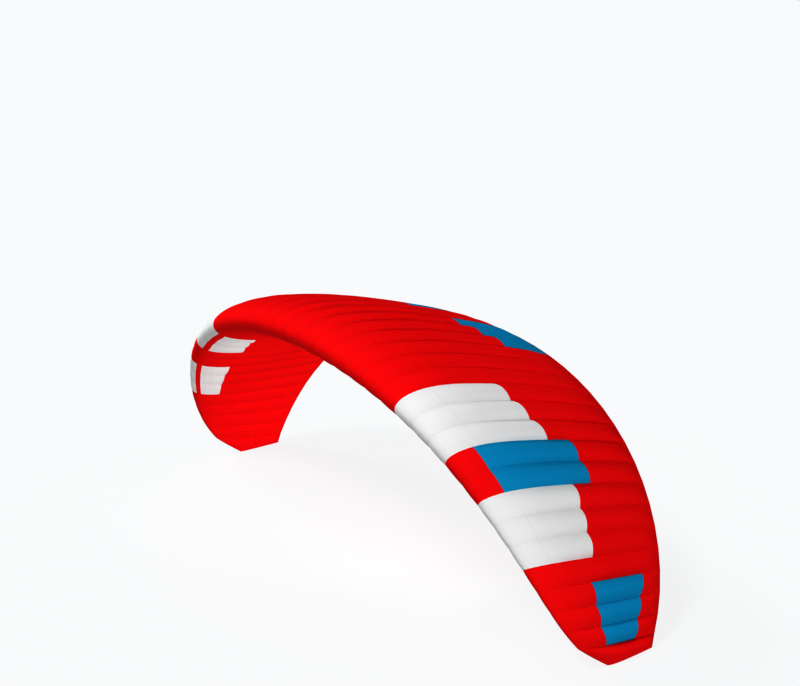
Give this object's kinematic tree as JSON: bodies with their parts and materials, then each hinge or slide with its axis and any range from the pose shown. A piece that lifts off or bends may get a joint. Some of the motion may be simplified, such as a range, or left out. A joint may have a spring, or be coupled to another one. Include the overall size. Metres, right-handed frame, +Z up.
{
  "type": "paraglider wing",
  "caption": "Ram-air paraglider canopy in its flying arch, with bellied cells, a closed inlet band and flat end ribs that it stands on.",
  "frame": {"origin": "middle of the bottom of the canopy's box, midway between the two wing tips on the surface that they stand on", "axes": "+Z up, +X to the port wing tip, -Y the way the nose faces in flight"},
  "size_m": [8.9448, 3.0674, 3.3287],
  "materials": {
    "upper_sail": "coated ripstop nylon, red with white and blue panels, low sheen",
    "lower_sail": "coated ripstop nylon, red with white panels, matt",
    "inlet_band": "stiffened woven nylon, red",
    "tip_rib": "coated ripstop nylon, red, with a taped edge"
  },
  "bodies": {
    "root": {"inlet_port_1": "inlet_band", "inlet_port_2": "inlet_band", "inlet_port_3": "inlet_band", "inlet_port_4": "inlet_band", "inlet_starboard_1": "inlet_band", "inlet_starboard_2": "inlet_band", "inlet_starboard_3": "inlet_band", "inlet_starboard_4": "inlet_band", "lower_port_1": "lower_sail", "lower_port_2": "lower_sail", "lower_port_3": "lower_sail", "lower_port_4": "lower_sail", "lower_starboard_1": "lower_sail", "lower_starboard_2": "lower_sail", "lower_starboard_3": "lower_sail", "lower_starboard_4": "lower_sail", "tip_port": "tip_rib", "tip_starboard": "tip_rib", "upper_port_01": "upper_sail", "upper_port_02": "upper_sail", "upper_port_03": "upper_sail", "upper_port_04": "upper_sail", "upper_port_05": "upper_sail", "upper_port_06": "upper_sail", "upper_port_07": "upper_sail", "upper_port_08": "upper_sail", "upper_port_09": "upper_sail", "upper_port_10": "upper_sail", "upper_port_11": "upper_sail", "upper_port_12": "upper_sail", "upper_port_13": "upper_sail", "upper_port_14": "upper_sail", "upper_port_15": "upper_sail", "upper_port_16": "upper_sail", "upper_port_17": "upper_sail", "upper_port_18": "upper_sail", "upper_port_19": "upper_sail", "upper_port_20": "upper_sail", "upper_starboard_01": "upper_sail", "upper_starboard_02": "upper_sail", "upper_starboard_03": "upper_sail", "upper_starboard_04": "upper_sail", "upper_starboard_05": "upper_sail", "upper_starboard_06": "upper_sail", "upper_starboard_07": "upper_sail", "upper_starboard_08": "upper_sail", "upper_starboard_09": "upper_sail", "upper_starboard_10": "upper_sail", "upper_starboard_11": "upper_sail", "upper_starboard_12": "upper_sail", "upper_starboard_13": "upper_sail", "upper_starboard_14": "upper_sail", "upper_starboard_15": "upper_sail", "upper_starboard_16": "upper_sail", "upper_starboard_17": "upper_sail", "upper_starboard_18": "upper_sail", "upper_starboard_19": "upper_sail", "upper_starboard_20": "upper_sail"}
  },
  "joints": []
}
